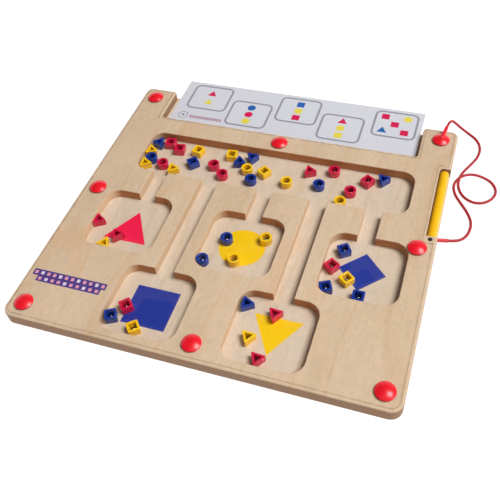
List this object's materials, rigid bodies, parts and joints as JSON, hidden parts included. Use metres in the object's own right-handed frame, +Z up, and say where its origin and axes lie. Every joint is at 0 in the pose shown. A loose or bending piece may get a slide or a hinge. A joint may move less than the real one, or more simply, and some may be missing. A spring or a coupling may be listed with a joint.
{
  "type": "magnetic wand maze board",
  "caption": "Square plywood board with a covered maze of chambers and channels, loose hollow counters, a pattern card in a rear notch and a tethered magnetic wand.",
  "frame": {"origin": "middle of the board's underside, on the surface it lies on", "axes": "+X right along the front edge, +Y to the back edge with the card notch, +Z up through the clear cover"},
  "size_m": [0.4525, 0.412, 0.0237],
  "materials": {
    "birch_ply": "sanded, clear matt lacquer",
    "clear_acrylic": "clear polished sheet",
    "zinc_steel": "zinc plated",
    "insert_brass": "turned",
    "cap_red": "glossy moulding",
    "mark_print": "screen print in red, yellow and blue",
    "keeper_steel": "dark oxide",
    "cord_red": "braided, matt",
    "sleeve_red": "soft moulding",
    "card_stock": "coated, satin",
    "wand_yellow": "glossy moulding",
    "magnet_nickel": "nickel plated",
    "counter_red": "glossy moulding",
    "counter_yellow": "glossy moulding",
    "counter_blue": "glossy moulding"
  },
  "bodies": {
    "board": {"base_panel": "birch_ply", "maze_panel": "birch_ply", "clear_cover": "clear_acrylic", "cover_screws": "zinc_steel", "threaded_inserts": "insert_brass", "screw_caps": "cap_red", "cord_anchor_cap": "cap_red", "goal_marks": "mark_print", "wand_keeper": "keeper_steel", "wand_cord": "cord_red"},
    "card": {"pattern_card": "card_stock"},
    "wand": {"wand_barrel": "wand_yellow", "wand_magnet": "magnet_nickel", "wand_tail_plug": "wand_yellow", "cord_sleeve": "sleeve_red"},
    "red_ring_1_counter": {"red_ring_1": "counter_red"},
    "red_ring_2_counter": {"red_ring_2": "counter_red"},
    "red_ring_3_counter": {"red_ring_3": "counter_red"},
    "red_ring_4_counter": {"red_ring_4": "counter_red"},
    "red_ring_5_counter": {"red_ring_5": "counter_red"},
    "blue_ring_1_counter": {"blue_ring_1": "counter_blue"},
    "blue_ring_2_counter": {"blue_ring_2": "counter_blue"},
    "blue_ring_3_counter": {"blue_ring_3": "counter_blue"},
    "blue_ring_4_counter": {"blue_ring_4": "counter_blue"},
    "blue_ring_5_counter": {"blue_ring_5": "counter_blue"},
    "yellow_ring_1_counter": {"yellow_ring_1": "counter_yellow"},
    "yellow_ring_2_counter": {"yellow_ring_2": "counter_yellow"},
    "yellow_ring_3_counter": {"yellow_ring_3": "counter_yellow"},
    "yellow_ring_4_counter": {"yellow_ring_4": "counter_yellow"},
    "yellow_ring_5_counter": {"yellow_ring_5": "counter_yellow"},
    "red_square_1_counter": {"red_square_1": "counter_red"},
    "red_square_2_counter": {"red_square_2": "counter_red"},
    "red_square_3_counter": {"red_square_3": "counter_red"},
    "red_square_4_counter": {"red_square_4": "counter_red"},
    "red_square_5_counter": {"red_square_5": "counter_red"},
    "blue_square_1_counter": {"blue_square_1": "counter_blue"},
    "blue_square_2_counter": {"blue_square_2": "counter_blue"},
    "blue_square_3_counter": {"blue_square_3": "counter_blue"},
    "blue_square_4_counter": {"blue_square_4": "counter_blue"},
    "blue_square_5_counter": {"blue_square_5": "counter_blue"},
    "yellow_square_1_counter": {"yellow_square_1": "counter_yellow"},
    "yellow_square_2_counter": {"yellow_square_2": "counter_yellow"},
    "yellow_square_3_counter": {"yellow_square_3": "counter_yellow"},
    "yellow_square_4_counter": {"yellow_square_4": "counter_yellow"},
    "yellow_square_5_counter": {"yellow_square_5": "counter_yellow"},
    "red_triangle_1_counter": {"red_triangle_1": "counter_red"},
    "red_triangle_2_counter": {"red_triangle_2": "counter_red"},
    "red_triangle_3_counter": {"red_triangle_3": "counter_red"},
    "red_triangle_4_counter": {"red_triangle_4": "counter_red"},
    "red_triangle_5_counter": {"red_triangle_5": "counter_red"},
    "blue_triangle_1_counter": {"blue_triangle_1": "counter_blue"},
    "blue_triangle_2_counter": {"blue_triangle_2": "counter_blue"},
    "blue_triangle_3_counter": {"blue_triangle_3": "counter_blue"},
    "blue_triangle_4_counter": {"blue_triangle_4": "counter_blue"},
    "blue_triangle_5_counter": {"blue_triangle_5": "counter_blue"},
    "yellow_triangle_1_counter": {"yellow_triangle_1": "counter_yellow"},
    "yellow_triangle_2_counter": {"yellow_triangle_2": "counter_yellow"},
    "yellow_triangle_3_counter": {"yellow_triangle_3": "counter_yellow"},
    "yellow_triangle_4_counter": {"yellow_triangle_4": "counter_yellow"},
    "yellow_triangle_5_counter": {"yellow_triangle_5": "counter_yellow"}
  },
  "joints": [
    {"name": "card_slide_out", "type": "slide", "parent": "board", "child": "card", "axis": [0, 1, 0], "range_m": [0, 0.12]},
    {"name": "lift_wand", "type": "slide", "parent": "board", "child": "wand", "axis": [0, 0, 1], "range_m": [0, 0.06]},
    {"name": "run_yellow_ring_5", "type": "slide", "parent": "board", "child": "yellow_ring_5_counter", "axis": [0, 1, 0], "range_m": [0, 0.117]},
    {"name": "run_red_triangle_4", "type": "slide", "parent": "board", "child": "red_triangle_4_counter", "axis": [0, 1, 0], "range_m": [0, 0.168]},
    {"name": "run_blue_triangle_4", "type": "slide", "parent": "board", "child": "blue_triangle_4_counter", "axis": [0, -1, 0], "range_m": [0, 0.128]},
    {"name": "slide_red_ring_1", "type": "slide", "parent": "board", "child": "red_ring_1_counter", "axis": [1, 0, 0], "range_m": [-0.0045, 0.003]},
    {"name": "slide_red_ring_2", "type": "slide", "parent": "board", "child": "red_ring_2_counter", "axis": [1, 0, 0], "range_m": [-0.0105, 0.01]},
    {"name": "slide_red_ring_3", "type": "slide", "parent": "board", "child": "red_ring_3_counter", "axis": [1, 0, 0], "range_m": [-0.01, 0.021]},
    {"name": "slide_red_ring_4", "type": "slide", "parent": "board", "child": "red_ring_4_counter", "axis": [1, 0, 0], "range_m": [-0.0165, 0.029]},
    {"name": "slide_red_ring_5", "type": "slide", "parent": "board", "child": "red_ring_5_counter", "axis": [1, 0, 0], "range_m": [-0.0225, 0.0595]},
    {"name": "slide_blue_ring_1", "type": "slide", "parent": "board", "child": "blue_ring_1_counter", "axis": [1, 0, 0], "range_m": [0, 0.0045]},
    {"name": "slide_blue_ring_2", "type": "slide", "parent": "board", "child": "blue_ring_2_counter", "axis": [1, 0, 0], "range_m": [-0.021, 0.006]},
    {"name": "slide_blue_ring_3", "type": "slide", "parent": "board", "child": "blue_ring_3_counter", "axis": [1, 0, 0], "range_m": [-0.0235, 0.0225]},
    {"name": "slide_blue_ring_4", "type": "slide", "parent": "board", "child": "blue_ring_4_counter", "axis": [1, 0, 0], "range_m": [-0.0155, 0.0315]},
    {"name": "slide_blue_ring_5", "type": "slide", "parent": "board", "child": "blue_ring_5_counter", "axis": [1, 0, 0], "range_m": [0, 0.021]},
    {"name": "slide_yellow_ring_1", "type": "slide", "parent": "board", "child": "yellow_ring_1_counter", "axis": [1, 0, 0], "range_m": [-0.0025, 0.006]},
    {"name": "slide_yellow_ring_2", "type": "slide", "parent": "board", "child": "yellow_ring_2_counter", "axis": [1, 0, 0], "range_m": [-0.02, 0.0235]},
    {"name": "slide_yellow_ring_3", "type": "slide", "parent": "board", "child": "yellow_ring_3_counter", "axis": [1, 0, 0], "range_m": [-0.0975, 0.063]},
    {"name": "slide_yellow_ring_4", "type": "slide", "parent": "board", "child": "yellow_ring_4_counter", "axis": [1, 0, 0], "range_m": [-0.0315, 0.0105]},
    {"name": "slide_red_square_1", "type": "slide", "parent": "board", "child": "red_square_1_counter", "axis": [1, 0, 0], "range_m": [-0.003, 0.001]},
    {"name": "slide_red_square_2", "type": "slide", "parent": "board", "child": "red_square_2_counter", "axis": [1, 0, 0], "range_m": [-0.001, 0.009]},
    {"name": "slide_red_square_3", "type": "slide", "parent": "board", "child": "red_square_3_counter", "axis": [1, 0, 0], "range_m": [-0.029, 0.005]},
    {"name": "slide_red_square_4", "type": "slide", "parent": "board", "child": "red_square_4_counter", "axis": [1, 0, 0], "range_m": [-0.0005, 0.011]},
    {"name": "slide_red_square_5", "type": "slide", "parent": "board", "child": "red_square_5_counter", "axis": [1, 0, 0], "range_m": [-0.005, 0.054]},
    {"name": "slide_blue_square_1", "type": "slide", "parent": "board", "child": "blue_square_1_counter", "axis": [1, 0, 0], "range_m": [-0.0265, 0.0105]},
    {"name": "slide_blue_square_2", "type": "slide", "parent": "board", "child": "blue_square_2_counter", "axis": [1, 0, 0], "range_m": [-0.008, 0.0565]},
    {"name": "slide_blue_square_3", "type": "slide", "parent": "board", "child": "blue_square_3_counter", "axis": [1, 0, 0], "range_m": [0, 0.0135]},
    {"name": "slide_blue_square_4", "type": "slide", "parent": "board", "child": "blue_square_4_counter", "axis": [1, 0, 0], "range_m": [-0.019, 0.0235]},
    {"name": "slide_blue_square_5", "type": "slide", "parent": "board", "child": "blue_square_5_counter", "axis": [1, 0, 0], "range_m": [0, 0.005]},
    {"name": "slide_yellow_square_1", "type": "slide", "parent": "board", "child": "yellow_square_1_counter", "axis": [1, 0, 0], "range_m": [-0.009, 0.028]},
    {"name": "slide_yellow_square_2", "type": "slide", "parent": "board", "child": "yellow_square_2_counter", "axis": [1, 0, 0], "range_m": [-0.028, 0.002]},
    {"name": "slide_yellow_square_3", "type": "slide", "parent": "board", "child": "yellow_square_3_counter", "axis": [1, 0, 0], "range_m": [-0.006, 0.02]},
    {"name": "slide_yellow_square_4", "type": "slide", "parent": "board", "child": "yellow_square_4_counter", "axis": [1, 0, 0], "range_m": [-0.0115, 0.0455]},
    {"name": "slide_yellow_square_5", "type": "slide", "parent": "board", "child": "yellow_square_5_counter", "axis": [1, 0, 0], "range_m": [-0.0155, 0.035]},
    {"name": "slide_red_triangle_1", "type": "slide", "parent": "board", "child": "red_triangle_1_counter", "axis": [1, 0, 0], "range_m": [-0.0445, 0.0165]},
    {"name": "slide_red_triangle_2", "type": "slide", "parent": "board", "child": "red_triangle_2_counter", "axis": [1, 0, 0], "range_m": [0, 0.068]},
    {"name": "slide_red_triangle_3", "type": "slide", "parent": "board", "child": "red_triangle_3_counter", "axis": [1, 0, 0], "range_m": [-0.004, 0.0385]},
    {"name": "slide_red_triangle_5", "type": "slide", "parent": "board", "child": "red_triangle_5_counter", "axis": [1, 0, 0], "range_m": [-0.027, 0.036]},
    {"name": "slide_blue_triangle_1", "type": "slide", "parent": "board", "child": "blue_triangle_1_counter", "axis": [1, 0, 0], "range_m": [-0.0015, 0.003]},
    {"name": "slide_blue_triangle_2", "type": "slide", "parent": "board", "child": "blue_triangle_2_counter", "axis": [1, 0, 0], "range_m": [-0.002, 0.0025]},
    {"name": "slide_blue_triangle_3", "type": "slide", "parent": "board", "child": "blue_triangle_3_counter", "axis": [1, 0, 0], "range_m": [-0.0075, 0.0615]},
    {"name": "slide_blue_triangle_5", "type": "slide", "parent": "board", "child": "blue_triangle_5_counter", "axis": [1, 0, 0], "range_m": [-0.0005, 0.0155]},
    {"name": "slide_yellow_triangle_1", "type": "slide", "parent": "board", "child": "yellow_triangle_1_counter", "axis": [1, 0, 0], "range_m": [0, 0.0025]},
    {"name": "slide_yellow_triangle_2", "type": "slide", "parent": "board", "child": "yellow_triangle_2_counter", "axis": [1, 0, 0], "range_m": [-0.001, 0]},
    {"name": "slide_yellow_triangle_3", "type": "slide", "parent": "board", "child": "yellow_triangle_3_counter", "axis": [1, 0, 0], "range_m": [-0.003, 0.0465]},
    {"name": "slide_yellow_triangle_4", "type": "slide", "parent": "board", "child": "yellow_triangle_4_counter", "axis": [1, 0, 0], "range_m": [-0.011, 0.004]},
    {"name": "slide_yellow_triangle_5", "type": "slide", "parent": "board", "child": "yellow_triangle_5_counter", "axis": [1, 0, 0], "range_m": [-0.0135, 0.0525]}
  ]
}
